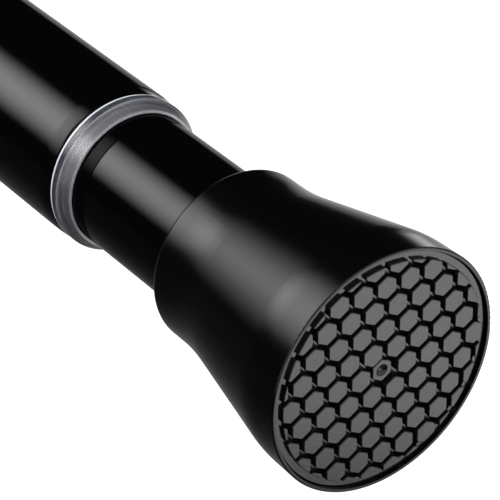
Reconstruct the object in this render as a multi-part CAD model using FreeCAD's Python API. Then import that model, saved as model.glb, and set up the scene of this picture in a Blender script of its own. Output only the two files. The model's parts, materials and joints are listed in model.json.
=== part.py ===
import FreeCAD, Part
import math
import os

# Spring tension rod, in millimetres. +X runs along the rod from the fixed end
# cap to the sliding end cap, +Z is up, and the origin is the middle of the
# fixed end cap's wall face. The rod is stored a little open, spring relaxed.

# Lengths of the whole rod, from wall face to wall face
shortest_length = 406.4
rest_opening = 8.0
spring_stroke = 16.0
closed_gap = 0.6

# Tubes
outer_tube_r = 12.7
inner_tube_r = 10.9
tube_wall = 0.6
swage_length = 3.0
swage_drop = 0.35
swage_round = 10.0
tube_edge_round = 0.2

# Clearances
running_gap = 0.1
slide_gap = 0.3
seat_gap = 0.15

# End cap, measured back from its wall face
cap_r = 18.6
cap_length = 35.4
cap_rim_taper = 0.15
cap_rim_band = 6.0
cap_neck_wall = 1.08
cap_flare_end = 28.1
cap_shoulder_round = 20.0
cap_neck_round = 35.0
cap_mouth_round = 1.3
mouth_round_share = 0.45
cap_lip_round = 0.2
cap_lip_wall = 0.8
cap_lip_taper = 0.25
cap_skin = 1.8
socket_wall = 1.6
socket_bottom = 8.0
socket_web = 2.0
cap_ribs = 6
cap_rib_wall = 1.4

# Grip pad with its six-sided studs
pad_base = 1.4
pad_ring_groove = 1.05
stud_height = 1.4
pad_ledge_drop = 0.6
stud_pitch = 3.9
stud_top = 2.95
stud_corner = 0.4
stud_edge = 0.1
stud_least_share = 0.06
centre_stud_drop = 0.5
dimple_r = 0.95
dimple_depth = 0.45
peg_r = 2.5

# Clear guide collar in the mouth of the outer tube
collar_flange_r = 12.5
collar_flange = 1.6
collar_nose = 2.0
collar_nose_wall = 0.35
collar_sleeve = 12.0
collar_press_gap = 0.05
collar_round = 0.25

# Lock: screw spindle, split expander sleeve and cone nut
spindle_r = 4.0
spindle_hex = 7.0
spindle_tip = 1.0
spindle_tip_round = 0.6
spindle_flange_r = 8.0
spindle_flange = 2.5
spindle_flange_round = 0.3
stop_nut_hex = 13.0
stop_nut = 5.0
cone_release = 2.0
cone_travel = 2.0
cone_back = 6.0
cone_stand_off = 4.0
cone_back_round = 0.6
nut_cone = 14.0
sleeve_cone = 14.0
sleeve_mouth_r = 10.0
cone_angle = 8.0
key_width = 1.0
key_reach = 6.0
key_sink = 2.0
key_r = 11.5
sleeve_length = 30.0
sleeve_bearing = 12.0
sleeve_mouth_round = 0.4
sleeve_end_round = 0.8
sleeve_slits = 4
slit_width = 1.6
slit_end = 4.0
slit_overcut = 1.0
groove_count = 5
groove_width = 1.2
groove_depth = 0.5
groove_pitch = 3.2
clip_wall = 1.1
clip_r = 6.5
clip_gap = 4.4
clip_groove = 0.6
thrust_washer = 1.2
washer_rim = 1.0

# Spring and what holds it in the inner tube
wire_r = 1.0
coil_r = 8.0
coil_pitch = 5.0
spring_length = 60.0
coil_bite = 0.55
pusher_r = 9.8
pusher_flange = 2.5
spigot = 6.0
spigot_gap = 0.1
spigot_round = 1.0
tail_thread_r = 2.5
tail_nut_hex = 8.0
tail_nut = 4.0
bush_flange = 3.0
bush_body = 16.0
anchor_body = 14.0
seat_washer = 1.0
pin_r = 1.25
pin_length = 4.0
pin_sink = 0.15
pin_set_back = 7.0

# Places along the rod that follow from the sizes above
rod_length = shortest_length + rest_opening
inner_tube_shown = closed_gap + spring_stroke + rest_opening
cap_rim_r = cap_r - cap_rim_taper
cap_neck_r = outer_tube_r + cap_neck_wall
pad_r = cap_r - cap_lip_wall
stud_field_r = pad_r - pad_ring_groove
stud_width = stud_top + 2 * stud_edge
outer_bore_r = outer_tube_r - tube_wall
inner_bore_r = inner_tube_r - tube_wall
mouth_x = rod_length - cap_length - inner_tube_shown - collar_nose - collar_flange
pad_seat = stud_height + pad_base
tip_x = socket_bottom + rest_opening + slide_gap
stop_nut_x = tip_x + spindle_tip
cone_nut_x = stop_nut_x + stop_nut + cone_release
cone_x = cone_nut_x + cone_back
sleeve_x = cone_x + cone_stand_off
sleeve_end_x = sleeve_x + sleeve_length
clip_x = sleeve_end_x - sleeve_bearing - running_gap - clip_wall
flange_x = sleeve_end_x + running_gap + thrust_washer
hex_x = flange_x + spindle_flange
bush_x = hex_x + spring_stroke + slide_gap
inner_tube_x = bush_x + bush_flange
pusher_x = inner_tube_x + bush_body
spring_x = pusher_x + pusher_flange
tail_nut_x = spring_x + spigot
spindle_end_x = tail_nut_x + tail_nut + spindle_tip
seat_washer_x = spring_x + spring_length
anchor_x = seat_washer_x + seat_washer
bush_pin_x = inner_tube_x + pin_set_back
anchor_pin_x = anchor_x + pin_set_back
spigot_r = coil_r - wire_r - spigot_gap


def vector(x, y, z):
    return FreeCAD.Vector(x, y, z)


def corner_arc(before, corner, after, radius):
    """The two ends and the middle of the arc that rounds a corner."""
    to_before = (before - corner).normalize()
    to_after = (after - corner).normalize()
    half_angle = to_before.getAngle(to_after) / 2
    reach = radius / math.tan(half_angle)
    middle = (to_before + to_after).normalize()
    depth = radius / math.sin(half_angle) - radius
    return corner + to_before * reach, corner + middle * depth, corner + to_after * reach


def outline(corners):
    """A closed wire through (x, radius, rounding) corners."""
    points = [vector(c[0], 0, c[1]) for c in corners]
    rounds = [c[2] if len(c) > 2 else 0 for c in corners]
    count = len(corners)
    stretches = []
    for i, point in enumerate(points):
        if rounds[i]:
            arc = corner_arc(points[i - 1], point, points[(i + 1) % count], rounds[i])
            stretches.append(arc)
        else:
            stretches.append((point,))
    edges = []
    for i, stretch in enumerate(stretches):
        if len(stretch) == 3:
            edges.append(Part.Arc(*stretch).toShape())
        start = stretch[-1]
        end = stretches[(i + 1) % count][0]
        if start.distanceToPoint(end) > 1e-6:
            edges.append(Part.makeLine(start, end))
    return Part.Wire(edges)


def turned(corners):
    """A solid turned about the rod's axis from its outline."""
    face = Part.Face(outline(corners))
    return face.revolve(vector(0, 0, 0), vector(1, 0, 0), 360)


def ring(x, length, outer_r, inner_r=0):
    """A plain disc or tube along the axis."""
    solid = Part.makeCylinder(outer_r, length, vector(x, 0, 0), vector(1, 0, 0))
    if inner_r:
        solid = solid.cut(Part.makeCylinder(inner_r, length, vector(x, 0, 0), vector(1, 0, 0)))
    return solid


def hexagon(x, across_flats, first_corner=30):
    """A six-sided wire square to the axis."""
    radius = across_flats / math.sqrt(3)
    points = []
    for i in range(7):
        angle = math.radians(first_corner + 60 * i)
        points.append(vector(x, radius * math.cos(angle), radius * math.sin(angle)))
    return Part.makePolygon(points)


def hex_bar(x, length, across_flats):
    return Part.Face(hexagon(x, across_flats)).extrude(vector(length, 0, 0))


def soft_hexagon(x, across_flats, corner_r):
    """A six-sided wire square to the axis, with rounded corners."""
    corners = [v.Point for v in hexagon(x, across_flats).OrderedVertexes]
    edges = []
    for i, corner in enumerate(corners):
        arc = corner_arc(corners[i - 1], corner, corners[(i + 1) % 6], corner_r)
        edges.append(Part.Arc(*arc).toShape())
    straights = [
        Part.makeLine(edges[i].lastVertex(True).Point, edges[(i + 1) % 6].firstVertex(True).Point)
        for i in range(6)
    ]
    return Part.Wire([edge for pair in zip(edges, straights) for edge in pair])


def radial_blade(x, length, wall, near_r, far_r, angle):
    """A flat blade that stands out from the axis at one angle."""
    blade = Part.makeBox(length, far_r - near_r, wall, vector(x, near_r, -wall / 2))
    return blade.rotate(vector(0, 0, 0), vector(1, 0, 0), angle)


def at_sliding_end(solid):
    """A piece of the fixed end, turned round to face the other wall."""
    moved = solid.copy()
    moved.rotate(vector(0, 0, 0), vector(0, 0, 1), 180)
    moved.translate(vector(rod_length, 0, 0))
    return moved


def cap_body(tube_r):
    """The cap's outer form, solid: lip, rim band, flare, neck and rounded mouth."""
    mouth_round = min(cap_mouth_round, mouth_round_share * (cap_neck_r - tube_r))
    return turned([
        (0, 0),
        (0, cap_r, cap_lip_round),
        (cap_rim_band, cap_rim_r, cap_shoulder_round),
        (cap_flare_end, cap_neck_r, cap_neck_round),
        (cap_length, cap_neck_r, mouth_round),
        (cap_length, 0),
    ])


def cap_cavity(tube_r):
    """The ring-shaped hollow between the cap's skin and its socket, less the ribs."""
    slope = (cap_rim_r - cap_neck_r) / (cap_flare_end - cap_rim_band)
    skin_drop = cap_skin * math.sqrt(1 + slope * slope)
    inside_skin = turned([
        (pad_seat, 0),
        (pad_seat, cap_rim_r - cap_skin),
        (cap_rim_band, cap_rim_r - skin_drop),
        (cap_flare_end, cap_neck_r - skin_drop),
        (cap_flare_end, 0),
    ])
    kept = [ring(pad_seat, cap_flare_end, tube_r + socket_wall)]
    for i in range(cap_ribs):
        angle = 360 / cap_ribs * i
        kept.append(radial_blade(pad_seat, cap_length, cap_rib_wall, tube_r, cap_r, angle))
    return inside_skin.cut(kept)


def end_cap(tube_r):
    """A moulded cap whose socket takes one tube and whose front takes the pad."""
    pad_pocket = turned([
        (0, 0),
        (0, pad_r + cap_lip_taper),
        (stud_height, pad_r),
        (pad_seat, pad_r),
        (pad_seat, 0),
    ])
    web_front = socket_bottom - socket_web
    socket = ring(socket_bottom, cap_length - socket_bottom, tube_r)
    behind_pad = ring(pad_seat, web_front - pad_seat, tube_r)
    peg_hole = ring(web_front, socket_web, peg_r)
    return cap_body(tube_r).cut([pad_pocket, socket, behind_pad, peg_hole, cap_cavity(tube_r)])


def stud(drop=0):
    """One six-sided stud with rounded corners and a softened top edge."""
    section = Part.Face(soft_hexagon(drop, stud_width, stud_corner))
    body = section.extrude(vector(stud_height - drop, 0, 0))
    top_edges = [edge for edge in body.Edges if edge.BoundBox.XMax < drop + stud_edge]
    return body.makeChamfer(stud_edge, top_edges)


def stud_field():
    """Studs in rows along Y, those at the edge trimmed to a circle."""
    whole = stud()
    edge = turned([
        (0, 0),
        (0, stud_field_r),
        (stud_edge, stud_field_r + stud_edge),
        (stud_height, stud_field_r + stud_edge),
        (stud_height, 0),
    ])
    row_step = stud_pitch * math.sqrt(3) / 2
    corner_reach = stud_width / math.sqrt(3)
    rows = int((stud_field_r + corner_reach) / row_step)
    columns = int((stud_field_r + corner_reach) / stud_pitch) + 1
    studs = []
    for row in range(-rows, rows + 1):
        for column in range(-columns, columns + 1):
            y = (column + 0.5 * (row % 2)) * stud_pitch
            z = row * row_step
            distance = math.hypot(y, z)
            if distance < 0.5 * stud_pitch or distance > stud_field_r + corner_reach:
                continue
            piece = whole.copy()
            piece.translate(vector(0, y, z))
            if distance + corner_reach > stud_field_r:
                piece = piece.common(edge)
            if piece.Volume > stud_least_share * whole.Volume:
                studs.append(piece)
    return studs


def grip_pad():
    """A soft disc with studs in a raised ledge, a lowered centre stud and a peg behind."""
    base = ring(stud_height, pad_base, pad_r)
    ledge = ring(pad_ledge_drop, stud_height - pad_ledge_drop, pad_r, stud_field_r)
    peg = ring(pad_seat, socket_bottom - pad_seat, peg_r)
    pad = base.multiFuse(stud_field() + [stud(centre_stud_drop), ledge, peg])
    bowl_r = (dimple_r ** 2 + dimple_depth ** 2) / (2 * dimple_depth)
    bowl = Part.makeSphere(bowl_r, vector(centre_stud_drop + dimple_depth - bowl_r, 0, 0))
    return pad.removeSplitter().cut(bowl)


def outer_tube():
    """Steel tube with a mouth drawn in a little where the collar sits."""
    tangent_x = mouth_x - swage_length / 2
    return turned([
        (socket_bottom, outer_bore_r),
        (socket_bottom, outer_tube_r, tube_edge_round),
        (tangent_x, outer_tube_r, swage_round),
        (mouth_x, outer_tube_r - swage_drop, tube_edge_round),
        (mouth_x, outer_bore_r - swage_drop),
        (tangent_x, outer_bore_r, swage_round - tube_wall),
    ])


def guide_collar():
    """Clear ring: a sleeve in the tube, a flange on its mouth and a tapered nose."""
    bore_r = inner_tube_r + running_gap
    sleeve_r = outer_bore_r - swage_drop - collar_press_gap
    nose_x = mouth_x + collar_flange + collar_nose
    return turned([
        (mouth_x - collar_sleeve, bore_r),
        (mouth_x - collar_sleeve, sleeve_r),
        (mouth_x, sleeve_r),
        (mouth_x, collar_flange_r, collar_round),
        (mouth_x + collar_flange, collar_flange_r, collar_round),
        (nose_x, bore_r + collar_nose_wall),
        (nose_x, bore_r),
    ])


def pins_at(x):
    """Two short pins, above and below the axis, let into a plug through the inner tube."""
    pins = []
    for side in (1, -1):
        start = vector(x, 0, side * (inner_tube_r - pin_sink - pin_length))
        pins.append(Part.makeCylinder(pin_r, pin_length, start, vector(0, 0, side)))
    return pins


def inner_tube():
    length = rod_length - socket_bottom - inner_tube_x
    tube = ring(inner_tube_x, length, inner_tube_r, inner_bore_r)
    holes = []
    for pin_x in (bush_pin_x, anchor_pin_x):
        for side in (1, -1):
            start = vector(pin_x, 0, 0)
            holes.append(Part.makeCylinder(pin_r, inner_tube_r, start, vector(0, 0, side)))
    return tube.cut(holes)


def tube_bush():
    """Guide bush in the inner tube's end, with a six-sided hole for the spindle."""
    bush = ring(bush_x, bush_flange, outer_bore_r - running_gap)
    bush = bush.fuse(ring(inner_tube_x, bush_body, inner_bore_r))
    hole = hex_bar(bush_x, bush_flange + bush_body, spindle_hex + 2 * running_gap)
    return bush.cut([hole] + pins_at(bush_pin_x))


def spring_anchor():
    """Plug across the inner tube that the far end of the spring presses on."""
    plug = ring(anchor_x, anchor_body, inner_bore_r)
    nose = turned([
        (seat_washer_x - spigot, 0),
        (seat_washer_x - spigot, spigot_r, spigot_round),
        (anchor_x, spigot_r),
        (anchor_x, 0),
    ])
    return plug.fuse(nose).cut(pins_at(anchor_pin_x))


def compression_spring():
    """Round-wire coil with its two ends ground flat on their seats."""
    first_x = spring_x + wire_r - coil_bite
    run = spring_length - 2 * (wire_r - coil_bite)
    helix = Part.makeHelix(coil_pitch, run, coil_r)
    section = Part.Wire(Part.makeCircle(wire_r, vector(coil_r, 0, 0), vector(0, 1, 0)))
    coil = Part.Wire(helix).makePipeShell([section], True, True)
    coil = Part.Solid(coil)
    coil.rotate(vector(0, 0, 0), vector(0, 1, 0), 90)
    coil.translate(vector(first_x, 0, 0))
    return coil.common(ring(spring_x, spring_length, coil_r + 2 * wire_r))


def spring_pusher():
    """Flanged hub, clamped on the spindle's tail, that loads the spring's near end."""
    hub = ring(pusher_x, pusher_flange, pusher_r)
    hub = hub.fuse(ring(spring_x, spigot, spigot_r))
    return hub.cut(ring(pusher_x, pusher_flange + spigot, tail_thread_r))


def screw_spindle():
    """Steel spindle: threaded nose for the cone nut, flange, and six-sided tail."""
    nose = turned([
        (tip_x, 0),
        (tip_x, spindle_r, spindle_tip_round),
        (flange_x, spindle_r),
        (flange_x, spindle_flange_r, spindle_flange_round),
        (hex_x, spindle_flange_r, spindle_flange_round),
        (hex_x, 0),
    ])
    clip_channel = ring(clip_x, clip_wall, spindle_r, spindle_r - clip_groove)
    tail = hex_bar(hex_x, pusher_x - hex_x, spindle_hex)
    tail_thread = ring(pusher_x, spindle_end_x - pusher_x, tail_thread_r)
    return nose.cut(clip_channel).multiFuse([tail, tail_thread])


def hex_nut(x, length, across_flats, bore_r):
    """A nut with both ends chamfered at its corners."""
    corner_r = across_flats / math.sqrt(3)
    chamfer = corner_r - across_flats / 2
    blank = turned([
        (x, bore_r),
        (x, across_flats / 2),
        (x + chamfer / 2, corner_r),
        (x + length - chamfer / 2, corner_r),
        (x + length, across_flats / 2),
        (x + length, bore_r),
    ])
    return blank.common(hex_bar(x, length, across_flats))


def cone_radius(x):
    """Radius of the expander sleeve's inner cone at a place along the rod."""
    return sleeve_mouth_r - (x - sleeve_x) * math.tan(math.radians(cone_angle))


def expander_sleeve():
    """Split sleeve: grooved outside, coned mouth, four slits and a rear bearing."""
    sleeve_r = outer_bore_r - slide_gap
    bearing_x = sleeve_end_x - sleeve_bearing
    cone_end_x = sleeve_x + sleeve_cone
    bore_r = spindle_r + running_gap
    sleeve = turned([
        (sleeve_x, cone_radius(sleeve_x)),
        (sleeve_x, sleeve_r, sleeve_mouth_round),
        (sleeve_end_x, sleeve_r, sleeve_end_round),
        (sleeve_end_x, bore_r),
        (bearing_x, bore_r),
        (bearing_x, cone_radius(cone_end_x)),
        (cone_end_x, cone_radius(cone_end_x)),
    ])
    cuts = []
    for i in range(sleeve_slits):
        angle = 360 / sleeve_slits * i
        slit = sleeve_length - sleeve_bearing - slit_end
        near_r = cone_radius(cone_end_x) - slit_overcut
        cuts.append(radial_blade(sleeve_x, slit, slit_width, near_r, outer_tube_r, angle))
    for i in range(groove_count):
        groove_x = sleeve_x + groove_pitch * (i + 1)
        cuts.append(ring(groove_x, groove_width, outer_tube_r, sleeve_r - groove_depth))
    return sleeve.cut(cuts)


def cone_nut():
    """Wedge nut: its cone spreads the sleeve and its keys run in the sleeve's slits."""
    advance = cone_travel + seat_gap
    bore_r = spindle_r + running_gap
    back_r = cone_radius(cone_x + advance)
    tip_of_cone_x = cone_x + nut_cone
    nut = turned([
        (cone_nut_x, bore_r),
        (cone_nut_x, back_r, cone_back_round),
        (cone_x, back_r),
        (tip_of_cone_x, cone_radius(tip_of_cone_x + advance)),
        (tip_of_cone_x, bore_r),
    ])
    key_length = sleeve_x + key_reach - cone_nut_x
    keys = []
    for i in range(sleeve_slits):
        angle = 360 / sleeve_slits * i
        near_r = back_r - key_sink
        keys.append(radial_blade(cone_nut_x, key_length, key_width, near_r, key_r, angle))
    return nut.multiFuse(keys)


def retaining_clip():
    """Spring clip, open on one side, in the spindle's groove in front of the bearing."""
    clip = ring(clip_x, clip_wall, clip_r, spindle_r - clip_groove)
    opening = Part.makeBox(clip_wall, clip_r, clip_gap, vector(clip_x, 0, -clip_gap / 2))
    return clip.cut(opening)


def parts():
    """Every piece by name, the two end caps and pads from the same functions."""
    pad = grip_pad()
    washer_r = spindle_flange_r + washer_rim
    thrust_x = flange_x - thrust_washer
    return {
        "outer_tube": outer_tube(),
        "guide_collar": guide_collar(),
        "fixed_end_cap": end_cap(outer_tube_r),
        "fixed_grip_pad": pad,
        "expander_sleeve": expander_sleeve(),
        "cone_nut": cone_nut(),
        "screw_spindle": screw_spindle(),
        "thrust_washer": ring(thrust_x, thrust_washer, washer_r, spindle_r),
        "retaining_clip": retaining_clip(),
        "stop_nut": hex_nut(stop_nut_x, stop_nut, stop_nut_hex, spindle_r),
        "spring_pusher": spring_pusher(),
        "tail_nut": hex_nut(tail_nut_x, tail_nut, tail_nut_hex, tail_thread_r),
        "inner_tube": inner_tube(),
        "tube_bush": tube_bush(),
        "bush_pins": Part.makeCompound(pins_at(bush_pin_x)),
        "compression_spring": compression_spring(),
        "seat_washer": ring(seat_washer_x, seat_washer, pusher_r, spigot_r),
        "spring_anchor": spring_anchor(),
        "anchor_pins": Part.makeCompound(pins_at(anchor_pin_x)),
        "sliding_end_cap": at_sliding_end(end_cap(inner_tube_r)),
        "sliding_grip_pad": at_sliding_end(pad),
    }


os.makedirs("parts", exist_ok=True)
for name, shape in parts().items():
    shape.exportStep(f"parts/{name}.step")
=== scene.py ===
import json
import math

import bpy
from mathutils import Matrix, Vector


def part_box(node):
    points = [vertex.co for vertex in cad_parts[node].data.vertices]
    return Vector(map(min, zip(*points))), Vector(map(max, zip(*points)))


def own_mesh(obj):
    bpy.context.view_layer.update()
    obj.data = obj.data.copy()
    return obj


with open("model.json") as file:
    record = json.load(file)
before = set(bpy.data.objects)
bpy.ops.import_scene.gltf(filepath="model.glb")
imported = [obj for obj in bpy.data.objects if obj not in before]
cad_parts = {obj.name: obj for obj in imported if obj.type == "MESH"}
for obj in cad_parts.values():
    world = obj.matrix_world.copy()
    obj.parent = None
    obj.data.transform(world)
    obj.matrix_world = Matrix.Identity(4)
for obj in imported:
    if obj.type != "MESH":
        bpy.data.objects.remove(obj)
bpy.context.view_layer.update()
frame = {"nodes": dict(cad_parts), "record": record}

# Places along the rod, in metres, read from the frame: the sliding cap's face and the collar's end
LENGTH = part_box("sliding_end_cap")[1][0]
COLLAR_END_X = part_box("guide_collar")[1][0]

# How much of the collar shows, flange and nose together, and its nose alone
COLLAR_SHOWN = 0.0036
COLLAR_NOSE = 0.0020

# Camera, placed from the middle of the sliding cap's face
CAMERA_FROM_FACE = Vector((0.2218, -0.1827, 0.2073))
CAMERA_RIGHT = Vector((0.58635, 0.81003, 0.0))
CAMERA_UP = Vector((-0.44373, 0.32126, 0.8365))
CAMERA_LENS_MM = 190.7
SENSOR_MM = 36.0

# Where the inner tube's gloss begins, measured back from the cap's face
GLOSS_EDGE = 0.0571

# Width of the fine lines in the coating and the collar
LINE = 0.0002

# Studio: a white floor and world, and a dark room and cloth that the camera doesn't see
FLOOR_Z = -0.35
FLOOR_HALF = 6.0
ROOM_HALF = 3.0
ROOM_TOP = 3.0
ROOM_LENGTH = 6.0
ROOM_PAST_FACE = 0.1
CLOTH_Z = FLOOR_Z + 0.005
WORLD_LIGHT = 1.3
FLOOR_GREY = 0.6
DARK_GREY = 0.02

# How sheer the cloth is, by degrees from straight below the rod towards +Y
SHEER = ((-45, 0.0), (-21, 0.04), (3, 0.10), (27, 0.20), (50, 0.60), (68, 0.40), (84, 0.20), (90, 0.14))


def tree_of(name):
    """A new material, its node tree and its Principled shader."""
    material = bpy.data.materials.new(name)
    material.use_nodes = True
    tree = material.node_tree
    return material, tree, tree.nodes["Principled BSDF"]


def node(tree, kind, **values):
    """A new node with its properties set."""
    made = tree.nodes.new(kind)
    for key, value in values.items():
        setattr(made, key, value)
    return made


def place(tree):
    """The place of a point in its object, which for every CAD node is its place in the frame at rest."""
    return node(tree, "ShaderNodeTexCoord").outputs["Object"]


def noise(tree, scale, detail=2.0, stretch=(1, 1, 1)):
    """A noise value in object space, with features of about 1 / scale metres."""
    mapping = node(tree, "ShaderNodeMapping")
    mapping.inputs["Scale"].default_value = stretch
    tree.links.new(place(tree), mapping.inputs["Vector"])
    made = node(tree, "ShaderNodeTexNoise")
    made.inputs["Scale"].default_value = scale
    made.inputs["Detail"].default_value = detail
    tree.links.new(mapping.outputs["Vector"], made.inputs["Vector"])
    return made.outputs["Fac"]


def spread(tree, value, low, high):
    """A 0 to 1 value mapped to a range."""
    made = node(tree, "ShaderNodeMapRange")
    made.inputs["To Min"].default_value = low
    made.inputs["To Max"].default_value = high
    tree.links.new(value, made.inputs["Value"])
    return made.outputs["Result"]


def two_colours(tree, value, low, high):
    """A colour between two, by a 0 to 1 value."""
    made = node(tree, "ShaderNodeMix", data_type="RGBA")
    made.inputs["A"].default_value = (*low, 1)
    made.inputs["B"].default_value = (*high, 1)
    tree.links.new(value, made.inputs["Factor"])
    return made.outputs["Result"]


def bumped(tree, shader, value, distance):
    """A bump of the given height in metres, also on the shader's coat where it has one all over."""
    bump = node(tree, "ShaderNodeBump")
    bump.inputs["Distance"].default_value = distance
    tree.links.new(value, bump.inputs["Height"])
    tree.links.new(bump.outputs["Normal"], shader.inputs["Normal"])
    if shader.inputs["Coat Weight"].default_value > 0:
        tree.links.new(bump.outputs["Normal"], shader.inputs["Coat Normal"])


def stepped(tree, value, stops):
    """A level that runs straight between (value, level) stops."""
    first, last = stops[0][0], stops[-1][0]
    share = node(tree, "ShaderNodeMapRange")
    share.inputs["From Min"].default_value = first
    share.inputs["From Max"].default_value = last
    tree.links.new(value, share.inputs["Value"])
    ramp = node(tree, "ShaderNodeValToRGB")
    tree.links.new(share.outputs["Result"], ramp.inputs["Fac"])
    steps = ramp.color_ramp.elements
    while len(steps) < len(stops):
        steps.new(0.5)
    for step, (where, level) in zip(steps, stops):
        step.position = (where - first) / (last - first)
        step.color = (level, level, level, 1)
    return ramp.outputs["Color"]


def along_rod(tree, stops):
    """A level that runs straight between (place along the rod, level) stops."""
    split = node(tree, "ShaderNodeSeparateXYZ")
    tree.links.new(place(tree), split.inputs[0])
    return stepped(tree, split.outputs["X"], stops)


def black_coating(name, gloss_x=None):
    """The tubes: smooth black coating with the faintest ripple, dull before a fine line at gloss_x."""
    material, tree, shader = tree_of(name)
    colour = two_colours(tree, noise(tree, 900, 3.0), (0.0008, 0.0008, 0.0009), (0.0016, 0.0016, 0.0017))
    tree.links.new(colour, shader.inputs["Base Color"])
    shader.inputs["Specular IOR Level"].default_value = 0.0
    shader.inputs["Roughness"].default_value = 0.4
    dull, gloss = 0.13, 0.7
    shader.inputs["Coat Weight"].default_value = gloss
    shader.inputs["Coat Roughness"].default_value = 0.08
    bumped(tree, shader, noise(tree, 260, 2.0, (0.4, 1, 1)), 0.000004)
    if gloss_x:
        stops = [(gloss_x - 3 * LINE, dull), (gloss_x - LINE, dull), (gloss_x - 0.8 * LINE, 0.0),
                 (gloss_x, 0.0), (gloss_x + LINE, gloss)]
        tree.links.new(along_rod(tree, stops), shader.inputs["Coat Weight"])
    return material


def black_moulding():
    """The caps: black moulded plastic with a soft gloss."""
    material, tree, shader = tree_of("cap_black_moulding")
    colour = two_colours(tree, noise(tree, 1200, 3.0), (0.0012, 0.0012, 0.0014), (0.0022, 0.0022, 0.0024))
    tree.links.new(colour, shader.inputs["Base Color"])
    shader.inputs["Specular IOR Level"].default_value = 0.0
    shader.inputs["Roughness"].default_value = 0.5
    shader.inputs["Coat Weight"].default_value = 1.0
    shader.inputs["Coat IOR"].default_value = 1.4
    shader.inputs["Coat Roughness"].default_value = 0.16
    bumped(tree, shader, noise(tree, 1500, 2.0), 0.000003)
    return material


def pad_rubber():
    """The grip pads: black elastomer, satin, with a fine grain."""
    material, tree, shader = tree_of("pad_black_rubber")
    colour = two_colours(tree, noise(tree, 2200, 4.0), (0.0035, 0.0035, 0.0037), (0.006, 0.006, 0.0064))
    tree.links.new(colour, shader.inputs["Base Color"])
    tree.links.new(spread(tree, noise(tree, 1500), 0.12, 0.18), shader.inputs["Roughness"])
    bumped(tree, shader, noise(tree, 4000, 3.0), 0.00001)
    return material


def clear_plastic():
    """The guide collar: clear plastic, milky in its nose. The light lines at its back edge, at the start of
    its nose and at its end are painted highlights, and its flange is painted darker as shade.
    """
    material, tree, shader = tree_of("collar_clear_plastic")
    shader.inputs["IOR"].default_value = 1.49
    back, nose, end = COLLAR_END_X - COLLAR_SHOWN, COLLAR_END_X - COLLAR_NOSE, COLLAR_END_X

    # Colour level along the rod: painted highlight lines at the back edge, at the nose's start and at the
    # end, painted shade over the flange, and the nose's own milky tone between them.
    painted_highlight, painted_flange_shade, medium = 1.0, 0.15, 0.55
    tone_and_painted_light = along_rod(tree, [(back, painted_highlight), (back + 2 * LINE, painted_highlight), (back + 3 * LINE, painted_flange_shade),
                            (nose - LINE, painted_flange_shade), (nose, painted_highlight), (nose + 2 * LINE, medium),
                            (end - 2 * LINE, medium), (end, painted_highlight)])
    # Dark for the flange's painted shade; light for the painted highlight lines and the milky nose.
    colour = two_colours(tree, tone_and_painted_light, (0.10, 0.11, 0.13), (0.84, 0.85, 0.92))
    tree.links.new(colour, shader.inputs["Base Color"])

    # Clearness along the rod: nearly opaque at the back edge, and less clear at the nose's start and at the
    # end, so that the painted highlight lines there show as light lines.
    clear, edge, milky, end_highlight_clearness, white = 0.98, 0.8, 0.91, 0.6, 0.05
    clearness = along_rod(tree, [(back - 2 * LINE, clear), (back - LINE, white), (back + 2 * LINE, white),
                                 (back + 3 * LINE, clear), (nose - LINE, clear), (nose, edge),
                                 (nose + LINE, milky), (end - 0.8 * LINE, milky), (end, end_highlight_clearness)])
    tree.links.new(clearness, shader.inputs["Transmission Weight"])

    roughness = along_rod(tree, [(nose - LINE, 0.05), (nose + LINE, 0.26)])
    tree.links.new(roughness, shader.inputs["Roughness"])
    coat = along_rod(tree, [(nose - LINE, 0.0), (nose + LINE, 1.0)])
    tree.links.new(coat, shader.inputs["Coat Weight"])
    shader.inputs["Coat Roughness"].default_value = 0.3
    bumped(tree, shader, noise(tree, 300, 2.0), 0.00001)
    return material


def nylon():
    """The lock's mouldings: natural nylon."""
    material, tree, shader = tree_of("nylon_natural")
    colour = two_colours(tree, noise(tree, 350, 3.0), (0.66, 0.64, 0.57), (0.74, 0.73, 0.67))
    tree.links.new(colour, shader.inputs["Base Color"])
    tree.links.new(spread(tree, noise(tree, 900), 0.38, 0.52), shader.inputs["Roughness"])
    shader.inputs["Subsurface Weight"].default_value = 0.1
    shader.inputs["Subsurface Radius"].default_value = (0.002, 0.002, 0.0015)
    bumped(tree, shader, noise(tree, 2500, 2.0), 0.00001)
    return material


def steel(name, dark, light, low, high):
    """Machined or drawn steel, with lines round the axis."""
    material, tree, shader = tree_of(name)
    lines = noise(tree, 500, 4.0, (8, 1, 1))
    tree.links.new(two_colours(tree, lines, dark, light), shader.inputs["Base Color"])
    shader.inputs["Metallic"].default_value = 1.0
    tree.links.new(spread(tree, lines, low, high), shader.inputs["Roughness"])
    bumped(tree, shader, lines, 0.000008)
    return material


# By the record's material slot, and by node for the inner tube, which has a masked band of its own
MATERIALS = {
    "tube_black": black_coating("tube_black_coating"),
    "inner_tube": black_coating("tube_black_coating_masked", LENGTH - GLOSS_EDGE),
    "cap_black": black_moulding(),
    "pad_black": pad_rubber(),
    "collar_clear": clear_plastic(),
    "nylon_white": nylon(),
    "zinc_steel": steel("steel_zinc_plated", (0.50, 0.50, 0.49), (0.66, 0.66, 0.65), 0.22, 0.36),
    "spring_steel": steel("steel_spring", (0.22, 0.22, 0.23), (0.36, 0.36, 0.37), 0.25, 0.40),
}


def dress_frame():
    """Each CAD node gets its own procedural material or that of its slot."""
    slots = {part["node"]: part["material_slot"] for part in frame["record"]["subparts"]}
    for name, piece in frame["nodes"].items():
        for slot in piece.material_slots:
            slot.material = MATERIALS.get(name, MATERIALS[slots[name]])


def shorten_spring():
    """The spring shortens towards its seat as the rod is pressed, so its other end stays on the pusher;
    here it is only given a mesh of its own.
    """
    spring = frame["nodes"]["compression_spring"]
    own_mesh(spring)


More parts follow.
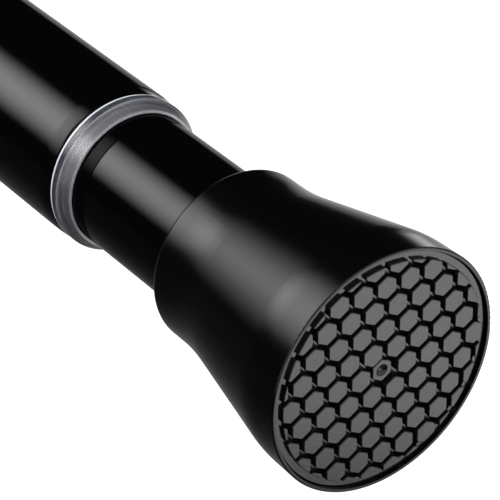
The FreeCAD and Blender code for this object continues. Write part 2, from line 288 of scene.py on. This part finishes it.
def add_camera():
    """The photograph's camera."""
    data = bpy.data.cameras.new("camera")
    data.lens = CAMERA_LENS_MM
    data.sensor_width = SENSOR_MM
    data.clip_start = 0.01
    data.clip_end = 50.0
    camera = bpy.data.objects.new("camera", data)
    back = CAMERA_RIGHT.cross(CAMERA_UP)
    turn = Matrix((CAMERA_RIGHT, CAMERA_UP, back)).transposed()
    camera.matrix_world = Matrix.Translation(Vector((LENGTH, 0, 0)) + CAMERA_FROM_FACE) @ turn.to_4x4()
    bpy.context.scene.collection.objects.link(camera)
    bpy.context.scene.camera = camera


def seen_by_eye(tree):
    """1 on camera, glossy and transmission rays, else 0."""
    path = node(tree, "ShaderNodeLightPath")
    total = path.outputs["Is Camera Ray"]
    for name in ("Is Glossy Ray", "Is Transmission Ray"):
        add = node(tree, "ShaderNodeMath", operation="MAXIMUM")
        tree.links.new(total, add.inputs[0])
        tree.links.new(path.outputs[name], add.inputs[1])
        total = add.outputs[0]
    return total


def flat_sheet(name, half_x, half_y, z):
    """The mesh of a level rectangle round the frame's Z axis."""
    mesh = bpy.data.meshes.new(name)
    corners = [(-half_x, -half_y, z), (half_x, -half_y, z), (half_x, half_y, z), (-half_x, half_y, z)]
    mesh.from_pydata(corners, [], [(0, 1, 2, 3)])
    return mesh


def add_plain_object(name, mesh, material):
    """A piece of the stage, which isn't part of the rod."""
    made = bpy.data.objects.new(name, mesh)
    mesh.materials.append(material)
    bpy.context.scene.collection.objects.link(made)
    return made


def matt(name, level):
    """A plain matt material of a grey level."""
    material, tree, shader = tree_of(name)
    shader.inputs["Base Color"].default_value = (level, level, level, 1)
    shader.inputs["Roughness"].default_value = 1.0
    shader.inputs["Specular IOR Level"].default_value = 0.0
    return material, tree, shader


def add_floor():
    """A wide floor under the rod, which glows white for the eye and in gloss."""
    material, tree, shader = matt("floor_white", FLOOR_GREY)
    shader.inputs["Emission Color"].default_value = (1, 1, 1, 1)
    tree.links.new(seen_by_eye(tree), shader.inputs["Emission Strength"])
    add_plain_object("floor", flat_sheet("floor", FLOOR_HALF, FLOOR_HALF, FLOOR_Z), material)


def add_world():
    """White all round, for the eye and for what lies outside the dark room."""
    world = bpy.data.worlds.new("studio")
    world.use_nodes = True
    tree = world.node_tree
    background = tree.nodes["Background"]
    background.inputs["Color"].default_value = (1, 1, 1, 1)
    tree.links.new(spread(tree, seen_by_eye(tree), WORLD_LIGHT, 1.0), background.inputs["Strength"])
    bpy.context.scene.world = world


def add_dark_room():
    """Dark walls and ceiling round the rod, open at the front, so that its gloss shows lamps and floor."""
    profile = [(-ROOM_HALF, CLOTH_Z), (-ROOM_HALF, ROOM_TOP), (ROOM_HALF, ROOM_TOP), (ROOM_HALF, CLOTH_Z)]
    corners = [(x, y, z) for x in (-ROOM_LENGTH, LENGTH + ROOM_PAST_FACE) for y, z in profile]
    mesh = bpy.data.meshes.new("dark_room")
    mesh.from_pydata(corners, [], [(0, 1, 5, 4), (1, 2, 6, 5), (2, 3, 7, 6), (0, 1, 2, 3)])
    material = matt("card_dark", DARK_GREY)[0]
    add_plain_object("dark_room", mesh, material).visible_camera = False


def add_floor_cloth():
    """A dark cloth just over the floor, sheer in a soft band behind the rod."""
    material, tree, shader = matt("cloth_sheer", DARK_GREY)
    split = node(tree, "ShaderNodeSeparateXYZ")
    tree.links.new(place(tree), split.inputs[0])
    angle = node(tree, "ShaderNodeMath", operation="ARCTAN2")
    tree.links.new(split.outputs["Y"], angle.inputs[0])
    angle.inputs[1].default_value = -CLOTH_Z
    sheer = stepped(tree, angle.outputs[0], [(math.radians(turn), share) for turn, share in SHEER])
    mix = node(tree, "ShaderNodeMixShader")
    tree.links.new(sheer, mix.inputs["Fac"])
    tree.links.new(shader.outputs["BSDF"], mix.inputs[1])
    tree.links.new(node(tree, "ShaderNodeBsdfTransparent").outputs["BSDF"], mix.inputs[2])
    tree.links.new(mix.outputs["Shader"], tree.nodes["Material Output"].inputs["Surface"])
    mesh = flat_sheet("floor_cloth", ROOM_LENGTH, ROOM_HALF, CLOTH_Z)
    add_plain_object("floor_cloth", mesh, material).visible_camera = False


def bell(tree, value, middle, half_width):
    """1 at the middle of a value's range, falling to 0 at its half width."""
    away = node(tree, "ShaderNodeMath", operation="SUBTRACT")
    tree.links.new(value, away.inputs[0])
    away.inputs[1].default_value = middle
    size = node(tree, "ShaderNodeMath", operation="ABSOLUTE")
    tree.links.new(away.outputs[0], size.inputs[0])
    made = node(tree, "ShaderNodeMapRange", interpolation_type="SMOOTHSTEP")
    made.inputs["From Min"].default_value = half_width
    made.inputs["From Max"].default_value = 0.0
    tree.links.new(size.outputs[0], made.inputs["Value"])
    return made.outputs["Result"]


def add_softbox(name, middle, towards, width, height, radiance, brightest=0.5, reach=0.5):
    """A soft lamp that faces a point, its width along the rod.

    It is brightest at a share of its width and fades to nothing over the share reach to either side.
    """
    data = bpy.data.lights.new(name, "AREA")
    data.shape = "RECTANGLE"
    data.size = width
    data.size_y = height
    data.energy = radiance * math.pi * width * height
    data.use_nodes = True
    tree = data.node_tree
    place_on_lamp = node(tree, "ShaderNodeNewGeometry").outputs["Parametric"]
    split = node(tree, "ShaderNodeSeparateXYZ")
    tree.links.new(place_on_lamp, split.inputs[0])
    product = node(tree, "ShaderNodeMath", operation="MULTIPLY")
    tree.links.new(bell(tree, split.outputs["X"], brightest, reach), product.inputs[0])
    tree.links.new(bell(tree, split.outputs["Y"], 0.5, 0.5), product.inputs[1])
    tree.links.new(product.outputs[0], tree.nodes["Emission"].inputs["Strength"])
    lamp = bpy.data.objects.new(name, data)
    back = (Vector(middle) - Vector(towards)).normalized()
    side = Vector((1, 0, 0)) if abs(back.x) < 0.9 else Vector((0, 1, 0))
    up = back.cross(side).normalized()
    side = up.cross(back)
    lamp.matrix_world = Matrix.Translation(Vector(middle)) @ Matrix((side, up, back)).transposed().to_4x4()
    lamp.visible_camera = False
    bpy.context.scene.collection.objects.link(lamp)


def add_lights():
    """Soft lamps: name, middle, the point faced, width, height and radiance."""
    face = Vector((LENGTH, 0, 0))
    add_softbox("key", (-1.3, -0.65, 0.76), (-1.3, 0, 0), 2.3, 1.56, 4.6, 0.85, 0.65)
    add_softbox("far", face + 2.0 * Vector((-0.89, -0.30, 0.34)), face, 1.8, 1.8, 2.4)
    add_softbox("front", face + 1.2 * Vector((0.11, -0.73, 0.67)), face, 0.9, 0.9, 7.6)
    add_softbox("side", (LENGTH - 0.88, 1.2, -0.02), (LENGTH - 0.88, 0, -0.02), 0.6, 0.64, 4.0)
    add_softbox("end", (-4.0, 0, 0), face, 2.0, 2.0, 1.2)
    add_softbox("fill", face + 0.55 * Vector((0.67, 0.49, -0.55)), face, 0.6, 0.6, 2.1)


dress_frame()
shorten_spring()
add_camera()
add_floor()
add_world()
add_dark_room()
add_floor_cloth()
add_lights()

bpy.context.scene.view_settings.view_transform = "Standard"
